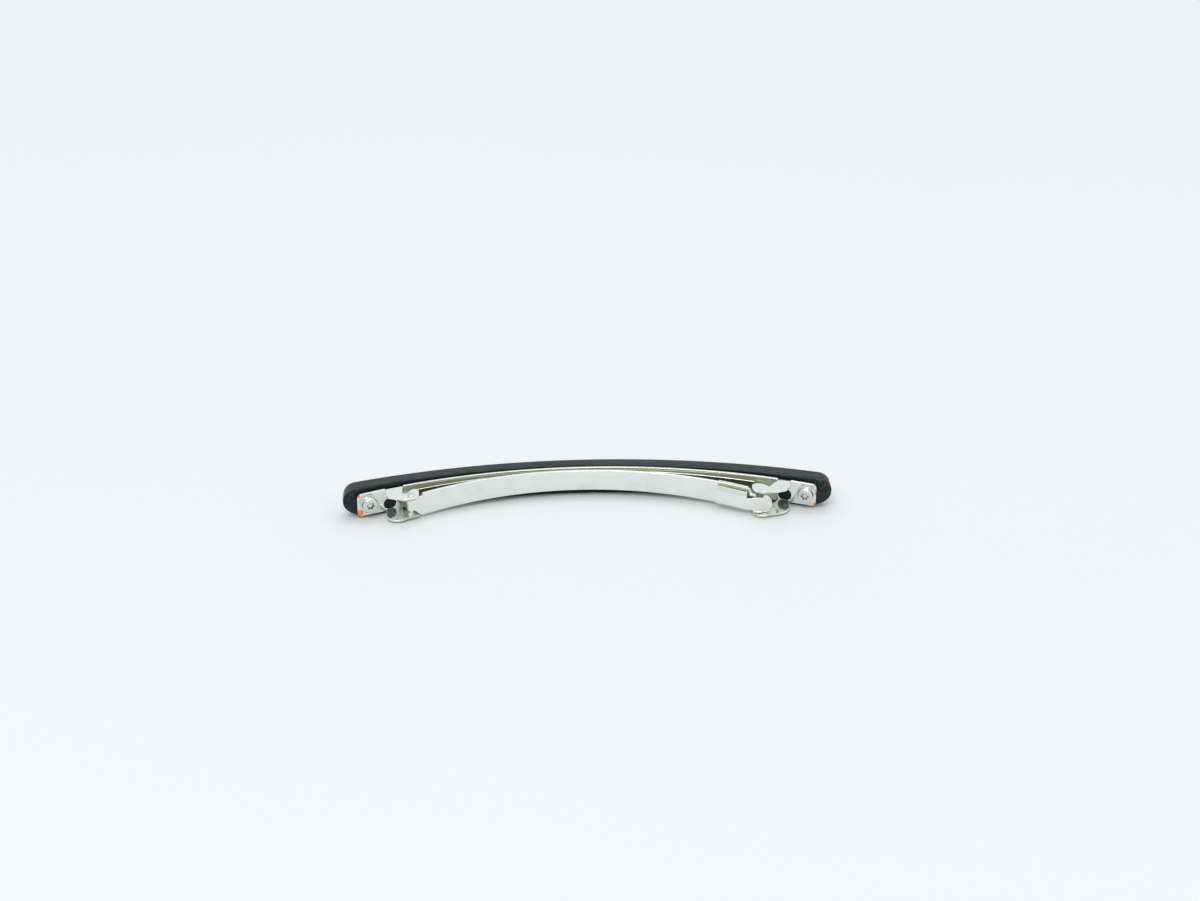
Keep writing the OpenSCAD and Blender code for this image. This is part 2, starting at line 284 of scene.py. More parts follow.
# Faces turned up or down, the bar's long edges, take the grey: partly sanded dust, partly a painted sheen
# of the light from above
horn_sanded_sheen = abs(axes(horn_tree, horn_place["Normal"])[2]).ramp(0.45, 0.9)
horn_x = axes(horn_tree, horn_place["Object"])[0]
horn_filed = abs(horn_x).ramp(BAR_FILED_FROM * MILLIMETRE, BAR_FILED_TO * MILLIMETRE)
horn_filed = horn_filed * horn_x.ramp(-0.04, 0.04, 0.55, 1.0, "LINEAR")
horn_pits = noise(horn_tree, horn_place["Object"], 1300.0, 4.0, 0.65)
horn_pitting = horn_pits * horn_filed
horn_specks = horn_pits.ramp(0.46, 0.66) * horn_filed
horn_dust = horn_streaks.ramp(0.35, 0.75) * 0.5 + 0.09 + horn_clouds.ramp(0.35, 0.85) * 0.25
horn_dust_and_sheen = (horn_dust * (horn_sanded_sheen * 0.86 + 0.14) + horn_specks * 0.4).below(1.0)
horn_relief = horn_streaks * 0.5 + horn_pitting * 2.4 + horn_clouds * 0.8
close_finish(horn_tree, {
    "Base Color": mix_colours(horn_tree, horn_dust_and_sheen, HORN_BLACK, HORN_DUST_AND_SHEEN),
    "Roughness": horn_sanded_sheen * 0.22 + horn_clouds * 0.12 + horn_pitting * 0.15 + 0.2,
    "Normal": relief_bump(horn_tree, horn_relief, 0.35, 0.00006),
    "Specular IOR Level": 0.2,
    "IOR": 1.54,
})

bar_tree, bar_inlet, bar_size = open_shape_tree("Bowed bar", BAR_SIZES)
bar_ring = add_node(
    bar_tree, "GeometryNodeCurvePrimitiveCircle", {"Resolution": BAR_RING, "Radius": 1.0}
)
bar_section = moved(bar_tree, bar_ring, rotation=(0, 0, math.pi / BAR_RING))
bar_tube = swept(bar_tree, (-1, 0, 0), (1, 0, 0), BAR_STATIONS, bar_section)
along, ring_y, ring_z = axes(bar_tree, add_node(bar_tree, "GeometryNodeInputPosition"))
bar_x = (along * (math.pi / 2)).step("SINE") * bar_size["Length"] * 0.5
from_end = (bar_size["Length"] * 0.5 - abs(bar_x)).above(0.0)
top_radius = bar_size["Top radius"]
edge_radius = bar_size["Edge radius"]
top_gap = (top_radius - from_end).above(0.0)
top_side = (top_radius * top_radius - top_gap * top_gap).above(0.0).root()
top_line = bar_size["Height"] - top_radius + top_side
low_share = ((bar_size["Low reach"] - from_end) / bar_size["Low reach"]).above(0.0)
low_side = (low_share * low_share * -1.0 + 1.0).above(0.0).root()
low_line = bar_size["Low rise"] * (low_side * -1.0 + 1.0)
half_height = (top_line - low_line) * 0.5
long_edge = half_height.below(edge_radius)
edge_gap = (edge_radius - from_end).above(0.0)
edge_side = (edge_radius * edge_radius - edge_gap * edge_gap).above(0).root()
hollow_radius = bar_size["Hollow radius"]
back_radius = bar_size["Back radius"]
hollow_line = (hollow_radius * hollow_radius - bar_x * bar_x).root() - hollow_radius
back_line = (back_radius * back_radius - bar_x * bar_x).root() - back_radius
back_line = back_line + bar_size["Middle thickness"]
half_thickness = (back_line - hollow_line) * 0.5
section_y = ring_y.step("SIGN") * (half_thickness - edge_radius) + ring_y * edge_side
section_z = ring_z.step("SIGN") * (half_height - long_edge) + ring_z * long_edge
bar_formed = reshaped(
    bar_tree, bar_tube, bar_x,
    section_y + (back_line + hollow_line) * 0.5 + bar_size["Middle line"],
    section_z + (top_line + low_line) * 0.5,
)
bar_smooth = add_node(bar_tree, "GeometryNodeSetShadeSmooth", {"Geometry": bar_formed})
bar = piece_from_tree("bar_polished", bar_tree, bar_inlet, bar_smooth, horn, BAR_SIZES)
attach(bar, "clip_base")
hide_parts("bar")


# The base plate
# One blank of nickel-plated steel sheet: a bowed strip with two screw tabs, cut-outs near
# both ends, two hinge ears folded up at the left and two catch wings folded up at the right.
CLASP_LEAN = math.radians(5)
CLASP_HEIGHT = 3.4
LEAN_LINE = BAR_MIDDLE_LINE - 8.2
PLATE_BACK = 7.93
PLATE_WIDTH = 5.4
PLATE_SHEET = 0.5
PLATE_LEFT = 48.3
PLATE_RIGHT = 48.1
PLATE_CORNER = 0.9
FOLD_START = 2.15
FOLD_RADIUS = 0.3
SHEET_EDGE = 0.09
SCREW_PLACES = (-46.1, 46.2)
SCREW_LIFT = 0.35
SCREW_BORE = 2.1
PIVOT = (-37.0, -1.6)
PIN_DIAMETER = 0.9
UPPER_EAR = [
    (-42.1, 3.1), (-41.5, 3.8), (-39.6, 4.9), (-38.6, 5.7), (-37.5, 6.15), (-36.3, 6.1),
    (-35.6, 5.7), (-35.3, 5.0), (-35.3, 4.6), (-35.4, 3.4), (-35.7, 2.35), (-36.75, 2.25),
    (-37.5, 2.85), (-37.85, 3.55), (-38.75, 3.35),
]
LOWER_EAR = [
    (-42.1, 3.6), (-41.6, 4.5), (-40.6, 5.4), (-39.3, 5.85), (-38.5, 5.65), (-37.6, 5.35),
    (-36.6, 5.3), (-35.6, 5.1), (-35.3, 4.6), (-35.4, 3.4), (-35.7, 2.35), (-36.75, 2.25),
    (-37.5, 2.85), (-37.85, 3.55), (-38.75, 3.35),
]
WING_BACK = [(40.2, 0.8), (39.1, 2.65), (38.1, 4.55)]
WING_FRONT = [(39.8, 6.25), (41.3, 5.25), (41.9, 4.4), (42.4, 3.4)]
WING_FOLD = 41.5
PAD_MIDDLE = 36.2
PAD_RADIUS = 1.9
PAD_NEAR = 5.6
PAD_FAR = 6.15
PAD_START = -33
PAD_END = 45.4
PAD_CREASE = 37.6
CREASE_EASE = 0.15
PAD_FLARE = math.radians(3)
UPPER_WING_SPLAY = math.radians(7.4)
CUTOUTS = [(-42.85, -40.25, -2.3, 0.4), (40.4, 43.05, -2.35, 0.5)]
CUTOUT_CORNER = 1.28
EAR_ROOT = (-42.3, -38.8)
WING_ROOT = (40.28, 42.65)
RELIEF_WIDTH = 0.06
RELIEF_BOTTOM = 2.3
GENTLE_TURN = math.radians(14)
NICKEL = (0.81, 0.825, 0.805, 1)
NICKEL_DULL = (0.69, 0.70, 0.655, 1)
# Olive of painted shade, laid on nickel where it lies in a narrow gap
NICKEL_PAINTED_SHADE = (0.44, 0.455, 0.33, 1)
COPPER = (0.86, 0.34, 0.13, 1)
# Faces turned towards the viewer, where the painted shade is laid
TOWARDS_VIEWER = ("Normal", "Y", -0.6, -0.9)


def clasp(u, v, w):
    """A point of the leaning clasp, in millimetres along, away and up, as a place in metres."""
    y = LEAN_LINE + v * math.cos(CLASP_LEAN) - w * math.sin(CLASP_LEAN)
    z = CLASP_HEIGHT + v * math.sin(CLASP_LEAN) + w * math.cos(CLASP_LEAN)
    return Vector((u, y, z)) * MILLIMETRE


def arc(centre, radius, start, end, count):
    """Points of an arc, with its angles in degrees."""
    turns = [math.radians(start + (end - start) * k / count) for k in range(count + 1)]
    return [(centre[0] + radius * math.cos(t), centre[1] + radius * math.sin(t)) for t in turns]


def eased_corner(before, here, after, radius, most, steps=0):
    """Points that round a corner within a share of its two sides. A gentle corner stays."""
    back = before - here
    ahead = after - here
    turn = math.pi - back.angle(ahead)
    if turn < GENTLE_TURN:
        return [here]
    reach = min(radius * math.tan(turn / 2), most * back.length, most * ahead.length)
    start = here + back.normalized() * reach
    end = here + ahead.normalized() * reach
    steps = steps or max(2, round(math.degrees(turn) / 10))
    shares = [step / steps for step in range(steps + 1)]
    return [start * (1 - t) ** 2 + here * 2 * t * (1 - t) + end * t * t for t in shares]


def eased(corners, radius):
    """A closed outline with its corners rounded, as a stamping die leaves them."""
    spots = [Vector(corner) for corner in corners]
    points = []
    for k, here in enumerate(spots):
        points += eased_corner(spots[k - 1], here, spots[(k + 1) % len(spots)], radius, 0.45)
    return points


def oval_hole(low_a, high_a, low_b, high_b, radius):
    corners = [
        ((high_a - radius, high_b - radius), 0),
        ((low_a + radius, high_b - radius), 90),
        ((low_a + radius, low_b + radius), 180),
        ((high_a - radius, low_b + radius), 270),
    ]
    return [spot for centre, start in corners for spot in arc(centre, radius, start, start + 90, 10)]


def wound(outline, anticlockwise):
    """The outline as vectors without doubled points, wound the way that is asked."""
    points = []
    for point in outline:
        point = Vector((point[0], point[1]))
        if not points or (point - points[-1]).length > 1e-4:
            points.append(point)
    if (points[0] - points[-1]).length < 1e-4:
        points.pop()
    area = sum(points[k - 1].cross(points[k]) for k in range(len(points)))
    return points if (area > 0) == anticlockwise else points[::-1]


def stamp_blank(outline, holes, sheet, edge, steps=3):
    """A flat blank in millimetres, its edges rounded over, with each point's normal noted."""
    blank = bmesh.new()
    facing = blank.verts.layers.float_vector.new("facing")
    loops = [wound(outline, True)] + [wound(hole, False) for hole in holes]
    quarter = [math.radians(90 * k / steps) for k in range(steps + 1)]
    courses = [(-1, -turn) for turn in reversed(quarter)] + [(1, turn) for turn in quarter]
    rings = []
    for loop in loops:
        outward = []
        for k, point in enumerate(loop):
            back = (point - loop[k - 1]).normalized()
            ahead = (loop[(k + 1) % len(loop)] - point).normalized()
            sides = Vector((back.y, -back.x)), Vector((ahead.y, -ahead.x))
            outward.append((sides[0] + sides[1]) / max(0.3, 1 + sides[0].dot(sides[1])))
        stack = []
        for side, turn in courses:
            inset = edge * (1 - math.cos(turn))
            level = side * (sheet / 2 - edge) + edge * math.sin(turn)
            ring = []
            for point, out in zip(loop, outward):
                spot = point - out * inset
                vertex = blank.verts.new((spot.x, spot.y, level))
                normal = out.normalized() * math.cos(turn)
                vertex[facing] = (normal.x, normal.y, math.sin(turn))
                ring.append(vertex)
            stack.append(ring)
        for below, above in zip(stack, stack[1:]):
            for k in range(len(below)):
                blank.faces.new((below[k - 1], below[k], above[k], above[k - 1]))
        rings.append(stack)
    for level, flip in ((0, True), (-1, False)):
        verts = [vertex for stack in rings for vertex in stack[level]]
        borders = []
        for stack in rings:
            first = sum(len(border) for border in borders)
            borders.append([first + k for k in range(len(stack[level]))])
        filled = delaunay_2d_cdt([vertex.co.xy for vertex in verts], [], borders, 2, 1e-6)
        for triangle in filled[2]:
            corners = [verts[filled[3][k][0]] for k in triangle]
            area = (corners[1].co - corners[0].co).cross(corners[2].co - corners[0].co).z
            if (area < 0) != flip:
                corners.reverse()
            blank.faces.new(corners)
    return blank


def score(blank, direction, places):
    """Cuts a blank's faces along straight lines, so that it can bend there."""
    for place in places:
        bmesh.ops.bisect_plane(
            blank, geom=blank.verts[:] + blank.edges[:] + blank.faces[:], dist=1e-5,
            plane_co=Vector(direction) * place, plane_no=Vector(direction),
        )


def press(name, blanks, material):
    """Bends blanks by their forming rules and keeps true normals for the mirror finish."""
    places, normals, faces = [], [], []
    reach = 1e-3
    for blank, shape in blanks:
        facing = blank.verts.layers.float_vector["facing"]
        blank.verts.index_update()
        first = len(places)
        turned = 0
        for vertex in blank.verts:
            a, b, c = vertex.co
            along_a = shape(a + reach, b, c) - shape(a - reach, b, c)
            along_b = shape(a, b + reach, c) - shape(a, b - reach, c)
            along_c = shape(a, b, c + reach) - shape(a, b, c - reach)
            n = vertex[facing]
            normal = (
                along_b.cross(along_c) * n[0] + along_c.cross(along_a) * n[1]
                + along_a.cross(along_b) * n[2]
            )
            if along_a.dot(along_b.cross(along_c)) < 0:
                normal.negate()
                turned += 1
            places.append(shape(a, b, c))
            normals.append(normal.normalized())
        for face in blank.faces:
            corners = [first + vertex.index for vertex in face.verts]
            faces.append(corners[::-1] if turned > len(blank.verts) / 2 else corners)
        blank.free()
    mesh = bpy.data.meshes.new(name)
    mesh.from_pydata(places, [], faces)
    mesh.shade_smooth()
    mesh.materials.append(material)
    mesh.normals_split_custom_set_from_vertices(normals)
    piece = bpy.data.objects.new(name, mesh)
    scene.collection.objects.link(piece)
    return piece


def spread(start, end, pitch):
    count = max(1, round((end - start) / pitch))
    return [start + (end - start) * k / count for k in range(1, count)]


# Worn plating: ragged spots at named places where the nickel has rubbed through
wear, wear_in = open_effect(
    "Worn plating",
    {"Place": (0.0, 0.0, 0.0), "Spot": (0.0, 0.0, 0.0), "Size": 0.001, "Raggedness": 0.5},
    ["Worn"],
)
wear_gap = add_node(
    wear, "ShaderNodeVectorMath", {0: wear_in["Place"], 1: wear_in["Spot"]}, operation="DISTANCE"
)
wear_share = Gauge(wear, wear_gap.outputs["Value"]) / wear_in["Size"]
wear_ragged = (noise(wear, wear_in["Place"], 2600.0, 3.0) - 0.5) * wear_in["Raggedness"]
add_node(wear, "NodeGroupOutput", {"Worn": (wear_share + wear_ragged).ramp(1.12, 0.88)})


def plate_finish(name, spots, streak_depth, painted_shade_zones, shade_strength=1.0):
    """Bright nickel on sheet steel: streaks of polish, a painted olive shade with less metal in
    chosen zones, and spots worn to copper.

    Each row of the shade zones is a reading, its axis, and where the painted shade starts and is
    full. Those of places are in millimetres, and so are the sizes of the spots.
    """
    material, tree, place = open_finish(name)
    marks, clouds = polish(tree, place, length=45.0, fineness=2300.0, cloud_size=240.0)
    dull = marks.ramp(0.42, 0.72) * 0.35 + clouds.ramp(0.45, 0.75) * 0.35
    colour = mix_colours(tree, dull, NICKEL, NICKEL_DULL)
    # Painted shade: an olive tint with less metal where all the zones meet, for the shade and dark
    # reflections in the gaps
    painted_shade = shade_strength
    for reading, axis, start, full in painted_shade_zones:
        unit = MILLIMETRE if reading == "Object" else 1
        share = axes(tree, place[reading])["XYZ".index(axis)].ramp(start * unit, full * unit)
        painted_shade = share * painted_shade
    colour = mix_colours(tree, painted_shade, colour, NICKEL_PAINTED_SHADE)
    roughness = clouds * 0.1 + marks * 0.06 + 0.03
    for spot, size in spots:
        worn = place_effect(
            tree, wear,
            {"Place": place["Object"], "Spot": spot, "Size": size * MILLIMETRE, "Raggedness": 0.9},
        )["Worn"]
        colour = mix_colours(tree, worn, colour, COPPER)
        roughness = roughness + worn * 0.16
    close_finish(tree, {
        "Base Color": colour,
        "Roughness": roughness,
        "Metallic": painted_shade * -0.5 + 0.9,
        "Normal": relief_bump(tree, marks * streak_depth + clouds * 1.2, 0.22, 0.00003),
    })
    return material


def plate_back(u):
    """Where the back of the bowed plate lies, seen from the line that the clasp leans about."""
    return PLATE_BACK - BAR_HOLLOW_RADIUS + math.sqrt(BAR_HOLLOW_RADIUS ** 2 - u ** 2)


def on_plate(u, w):
    return clasp(u, plate_back(u) - PLATE_SHEET, w)


def side_reach(out):
    """How far from the middle line of the flat blank a point lies that folds to this height."""
    return FOLD_START + FOLD_RADIUS * math.pi / 2 + out - PLATE_SHEET / 2 - FOLD_RADIUS


def relief(left, right):
    """The narrow slot beside a folded root, so that the strip next to it stays flat."""
    edge = PLATE_WIDTH / 2
    return [(left, edge), (left, RELIEF_BOTTOM), (right, RELIEF_BOTTOM), (right, edge)]


def plate_side(sign, ear):
    """One long side of the blank from left to right: edge, hinge ear, edge, catch wing."""
    rows = relief(EAR_ROOT[0] - RELIEF_WIDTH, EAR_ROOT[0])
    rows += [(u, side_reach(out)) for u, out in ear]
    rows += relief(EAR_ROOT[1], EAR_ROOT[1] + RELIEF_WIDTH)
    rows += relief(WING_ROOT[0] - RELIEF_WIDTH, WING_ROOT[0])
    rows += [(u, side_reach(out)) for u, out in WING_BACK]
    near = (PAD_MIDDLE, side_reach(PAD_NEAR))
    far = (PAD_MIDDLE, side_reach(PAD_FAR))
    rows += arc(near, PAD_RADIUS, PAD_START, -180, 16)
    rows += arc(far, PAD_RADIUS, 180, PAD_END, 16)
    rows += [(u, side_reach(out)) for u, out in WING_FRONT]
    rows += relief(WING_ROOT[1], WING_ROOT[1] + RELIEF_WIDTH)
    return [(u, sign * s) for u, s in rows]


def folds(u, side):
    """Only the ears and wings are folded up, with their roots in the strip."""
    if side > PLATE_WIDTH / 2 + 0.02:
        return True
    half = RELIEF_WIDTH / 2
    return any(root[0] - half < u < root[1] + half for root in (EAR_ROOT, WING_ROOT))


def plate_shape(u, s, c):
    """Where a point of the flat blank goes once the plate is bowed, folded and splayed."""
    radius = BAR_HOLLOW_RADIUS - PLATE_SHEET / 2
    bow = math.asin(u / radius)
    middle_v = PLATE_BACK - BAR_HOLLOW_RADIUS + radius * math.cos(bow)
    side = abs(s)
    if not folds(u, side):
        flat_v = middle_v - c * math.cos(bow)
        return clasp(u - c * math.sin(bow), flat_v, s)
    fold = min(max((side - FOLD_START) / FOLD_RADIUS, 0), math.pi / 2)
    past = max(side - FOLD_START - FOLD_RADIUS * math.pi / 2, 0)
    w = min(side, FOLD_START) + (FOLD_RADIUS - c) * math.sin(fold)
    out = FOLD_RADIUS - (FOLD_RADIUS - c) * math.cos(fold) + past
    lift = math.sin(fold)
    inward = Vector((-math.sin(bow) * (1 - lift), -math.cos(bow) * (1 - lift) - lift)).normalized()
    place_u = u + inward.x * out
    place_v = middle_v + inward.y * out
    if u > 0 and past > 0:
        before_crease = math.hypot(PAD_CREASE - u, CREASE_EASE) + PAD_CREASE - u
        w += 0.5 * math.tan(PAD_FLARE) * before_crease
    if u > 0 and s > 0:
        turn = UPPER_WING_SPLAY * fold / (math.pi / 2)
        fold_v = plate_back(WING_FOLD) - PLATE_SHEET / 2
        fold_w = (PLATE_WIDTH - PLATE_SHEET) / 2
        dv, dw = place_v - fold_v, w - fold_w
        turned_v = dv * math.cos(turn) + dw * math.sin(turn)
        turned_w = -dv * math.sin(turn) + dw * math.cos(turn)
        blend = math.sin(fold) if fold < math.pi / 2 else 1.0
        place_v += (turned_v + fold_v - place_v) * blend
        w += (turned_w + fold_w - w) * blend
    return clasp(place_u, place_v, math.copysign(w, s))


def with_round_tabs(outline, tab_corners):
    """The outline with the tabs' four corners as quarter rounds, from the lower left one on."""
    points = []
    for k, corner in enumerate(outline):
        if k not in tab_corners:
            points.append(corner)
            continue
        centre = Vector(corner) - Vector([math.copysign(PLATE_CORNER, place) for place in corner])
        start = 180 + 90 * tab_corners.index(k)
        points += arc(centre, PLATE_CORNER, start, start + 90, 9)
    return points


lower_side = plate_side(-1, LOWER_EAR)
plate_outline = [(-PLATE_LEFT, -PLATE_WIDTH / 2), *lower_side, (PLATE_RIGHT, -PLATE_WIDTH / 2)]
plate_outline += [(PLATE_RIGHT, PLATE_WIDTH / 2), *plate_side(1, UPPER_EAR)[::-1]]
plate_outline.append((-PLATE_LEFT, PLATE_WIDTH / 2))
tabs_at = (0, len(lower_side) + 1, len(lower_side) + 2, len(plate_outline) - 1)
plate_loop = eased(with_round_tabs(plate_outline, tabs_at), 1.8)
ear_hole_s = side_reach(plate_back(PIVOT[0]) - PIVOT[1])
plate_holes = [oval_hole(*box, CUTOUT_CORNER) for box in CUTOUTS]
plate_holes += [arc((u, SCREW_LIFT), SCREW_BORE / 2, 0, 360, 32) for u in SCREW_PLACES]
ear_hole = PIN_DIAMETER / 2 + 0.05
plate_holes += [arc((PIVOT[0], sign * ear_hole_s), ear_hole, 0, 360, 24) for sign in (-1, 1)]
plate_blank = stamp_blank(plate_loop, plate_holes, PLATE_SHEET, SHEET_EDGE)
score(plate_blank, (1, 0, 0), spread(-PLATE_LEFT, PLATE_RIGHT, 0.8))
score(plate_blank, (1, 0, 0), [PAD_CREASE - 0.2, PAD_CREASE, PAD_CREASE + 0.2])
fold_lines = [FOLD_START + FOLD_RADIUS * math.radians(angle) for angle in range(0, 91, 15)]
score(plate_blank, (0, 1, 0), [sign * line for line in fold_lines for sign in (-1, 1)])

# The plate's front face between the ears and the wings, facing the viewer behind the lever, is painted
# olive shade
plate_nickel = plate_finish(
    "plated sheet",
    [
        (on_plate(-47.75, -1.8), 0.8),
        (on_plate(-46.5, -1.95), 0.18),
        (on_plate(-47.95, 2.45), 0.42),
        (on_plate(48.15, 0.55), 0.42),
        (on_plate(47.9, -2.15), 0.48),
        (clasp(34.95, -4.6, -2.6), 0.4),
    ],
    0.5,
    [("Object", "X", -39.5, -37.5), ("Object", "X", 39.5, 37.5), TOWARDS_VIEWER],
)
plate = press("base_plate_pressed", [(plate_blank, plate_shape)], plate_nickel)
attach(plate, "clip_base")
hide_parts("base_plate")


# The tension spring
# A thin leaf of dull spring steel with bright sheared edges, bowed a little less than the
# plate, with a tab at its right end. Its broad faces are dark olive, dull steel with a painted
# shade for the gap it lies in. It lies loose between the plate and the lever.
SPRING_RADIUS = 115.0
SPRING_GAP = 0.04
SPRING_SIZES = {
    "From": -36.9,
    "To": 35.25,
    "Tab to": 36.5,
    "Bow radius": SPRING_RADIUS,
    "Bow centre": PLATE_BACK - PLATE_SHEET - SPRING_GAP - SPRING_RADIUS,
    "Sheet": 0.35,
    "Width": 4.1,
    "Tab width": 2.0,
    "Corner": 0.1,
}
SPRING_STATIONS = 120
SPRING_STEEL_AND_SHADE = (0.36, 0.37, 0.28, 1)
SPRING_STEEL_AND_SHADE_DARK = (0.25, 0.25, 0.18, 1)
SPRING_EDGE = (0.80, 0.81, 0.74, 1)

spring_finish, spring_tree, spring_place = open_finish("spring steel")
spring_marks, spring_clouds = polish(
    spring_tree, spring_place, length=70.0, fineness=4200.0, cloud_size=150.0
)
spring_sheared = abs(axes(spring_tree, spring_place["Normal"])[2]).ramp(0.4, 0.7)
spring_tone = spring_marks.ramp(0.4, 0.7) * 0.6 + spring_clouds * 0.3
# The broad faces' dark olive is dull steel with a painted shade laid over it
spring_broad_and_shade = mix_colours(spring_tree, spring_tone, SPRING_STEEL_AND_SHADE, SPRING_STEEL_AND_SHADE_DARK)
close_finish(spring_tree, {
    "Base Color": mix_colours(spring_tree, spring_sheared, spring_broad_and_shade, SPRING_EDGE),
    "Roughness": spring_marks * 0.12 + 0.2,
    "Metallic": 1.0,
})

leaf_tree, leaf_inlet, leaf_size = open_shape_tree("Sprung leaf", SPRING_SIZES)


def leaf_strip(start, end, width, sheet):
    """A straight strip of a rounded section, before it is bowed."""
    section = add_node(
        leaf_tree, "GeometryNodeCurvePrimitiveQuadrilateral", {"Width": sheet, "Height": width}
    )
    eased_section = add_node(
        leaf_tree, "GeometryNodeFilletCurve",
        {"Curve": section, "Count": 4, "Radius": leaf_size["Corner"]}, mode="POLY",
    )
    line = join_axes(leaf_tree, start), join_axes(leaf_tree, end)
    return swept(leaf_tree, *line, SPRING_STATIONS, eased_section)


leaf_body = leaf_strip(leaf_size["From"], leaf_size["To"], leaf_size["Width"], leaf_size["Sheet"])
leaf_tab = leaf_strip(
    leaf_size["To"] - 1.0, leaf_size["Tab to"], leaf_size["Tab width"], leaf_size["Sheet"] * 0.98
)
leaf_join = add_node(leaf_tree, "GeometryNodeJoinGeometry")
for strip in (leaf_body, leaf_tab):
    feed(leaf_tree, leaf_join.inputs[0], strip)
leaf_u, leaf_c, leaf_w = axes(leaf_tree, add_node(leaf_tree, "GeometryNodeInputPosition"))
leaf_middle = leaf_size["Bow radius"] - leaf_size["Sheet"] * 0.5
leaf_sine = leaf_u / leaf_middle
leaf_cosine = (leaf_sine * leaf_sine * -1.0 + 1.0).root()
leaf_reach = leaf_middle + leaf_c
leaf_bowed = reshaped(
    leaf_tree, leaf_join, leaf_reach * leaf_sine,
    leaf_reach * leaf_cosine + leaf_size["Bow centre"], leaf_w,
)
leaf_leaned = moved(leaf_tree, leaf_bowed, (0, LEAN_LINE, CLASP_HEIGHT), (CLASP_LEAN, 0, 0))
leaf_smooth = add_node(leaf_tree, "GeometryNodeSetShadeSmooth", {"Geometry": leaf_leaned})
spring = piece_from_tree(
    "tension_spring_leaf", leaf_tree, leaf_inlet, leaf_smooth, spring_finish, SPRING_SIZES
)
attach(spring, "clip_base")
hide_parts("tension_spring")


# The lever
# The wide bright strip that closes over the hair: nickel-plated sheet, bowed tighter than
# the rest, slightly waisted, and rolled round the hinge pin at its left end.
LEVER_RADIUS = 74.5
LEVER_SHEET = 0.5
LEVER_MIDDLE = -1.3
LEVER_CENTRE = 6.65 - LEVER_RADIUS
LEVER_END_WIDTH = 5.3
LEVER_MIDDLE_WIDTH = 4.8
LEVER_LIFT = 0.2
LEVER_TIP = 35.2
LEVER_TIP_HALF = 1.9
KNUCKLE_TOP = 2.1
KNUCKLE_BOTTOM = -0.75
KNUCKLE_TURN = math.radians(286)
TOP_SHOULDER = (-35.05, -34.5)
BOTTOM_SHOULDER = (-36.7, -34.7)
SLEEVE_FROM = 27.4
SLEEVE_TO = 33.9
SLEEVED_TOP = 2.75
SLEEVED_BOTTOM = -1.75
GROOVE_BOTTOM = 5.4
PIVOT_FROM_BOW = (PIVOT[0] - LEVER_MIDDLE, PIVOT[1] - LEVER_CENTRE)
KNUCKLE_RADIUS = math.hypot(*PIVOT_FROM_BOW) - LEVER_RADIUS
ROOT_TURN = math.atan2(*PIVOT_FROM_BOW)
LEVER_ROOT = LEVER_MIDDLE + LEVER_RADIUS * math.sin(ROOT_TURN)


def shoulder(u, span):
    """Runs smoothly from 0 to 1 across a shoulder of the lever."""
    share = min(max((u - span[0]) / (span[1] - span[0]), 0), 1)
    return (1 - math.cos(math.pi * share)) / 2


def waist(u):
    share = (u - LEVER_MIDDLE) / (TOP_SHOULDER[1] - LEVER_MIDDLE)
    return (LEVER_MIDDLE_WIDTH + (LEVER_END_WIDTH - LEVER_MIDDLE_WIDTH) * share ** 2) / 2


def on_bow(turn, reach):
    """A place on a circle round the centre of the lever's bow."""
    return LEVER_MIDDLE + reach * math.sin(turn), LEVER_CENTRE + reach * math.cos(turn)


def lever_shape(u, w, c):
    """Bows the strip, and winds what lies left of its root round the pin."""
    if u >= LEVER_ROOT:
        return clasp(*on_bow(math.asin((u - LEVER_MIDDLE) / LEVER_RADIUS), LEVER_RADIUS - c), w)
    angle = ROOT_TURN + (LEVER_ROOT - u) / KNUCKLE_RADIUS
    reach = KNUCKLE_RADIUS + c
    return clasp(PIVOT[0] - reach * math.sin(angle), PIVOT[1] - reach * math.cos(angle), w)


knuckle_end = LEVER_ROOT - KNUCKLE_RADIUS * KNUCKLE_TURN
lever_rows = [BOTTOM_SHOULDER[0] + 0.1 * k for k in range(24)] + [-33.0 + k for k in range(60)]
lever_top = [(knuckle_end, KNUCKLE_TOP)]
lever_top += [
    (u, KNUCKLE_TOP + (waist(u) + LEVER_LIFT - KNUCKLE_TOP) * shoulder(u, TOP_SHOULDER))
    for u in lever_rows
]
lever_top += [
    (SLEEVE_FROM - 0.1, waist(SLEEVE_FROM) + LEVER_LIFT), (SLEEVE_FROM + 0.1, SLEEVED_TOP),
    (SLEEVE_TO, SLEEVED_TOP), (SLEEVE_TO + 0.3, LEVER_TIP_HALF), (LEVER_TIP, LEVER_TIP_HALF),
]
lever_bottom = [
    (LEVER_TIP, SLEEVED_BOTTOM), (SLEEVE_FROM - 0.25, SLEEVED_BOTTOM),
    (SLEEVE_FROM - 0.3, LEVER_LIFT - waist(SLEEVE_FROM)),
]
lever_bottom += [
    (u, KNUCKLE_BOTTOM - (waist(u) - LEVER_LIFT + KNUCKLE_BOTTOM) * shoulder(u, BOTTOM_SHOULDER))
    for u in reversed(lever_rows)
]
lever_bottom += [(knuckle_end, KNUCKLE_BOTTOM)]
lever_blank = stamp_blank(eased(lever_top + lever_bottom, 0.25), [], LEVER_SHEET, SHEET_EDGE)
score(lever_blank, (1, 0, 0), spread(LEVER_ROOT, LEVER_TIP, 0.6) + [LEVER_ROOT])
score(lever_blank, (1, 0, 0), spread(knuckle_end, LEVER_ROOT, 0.09))
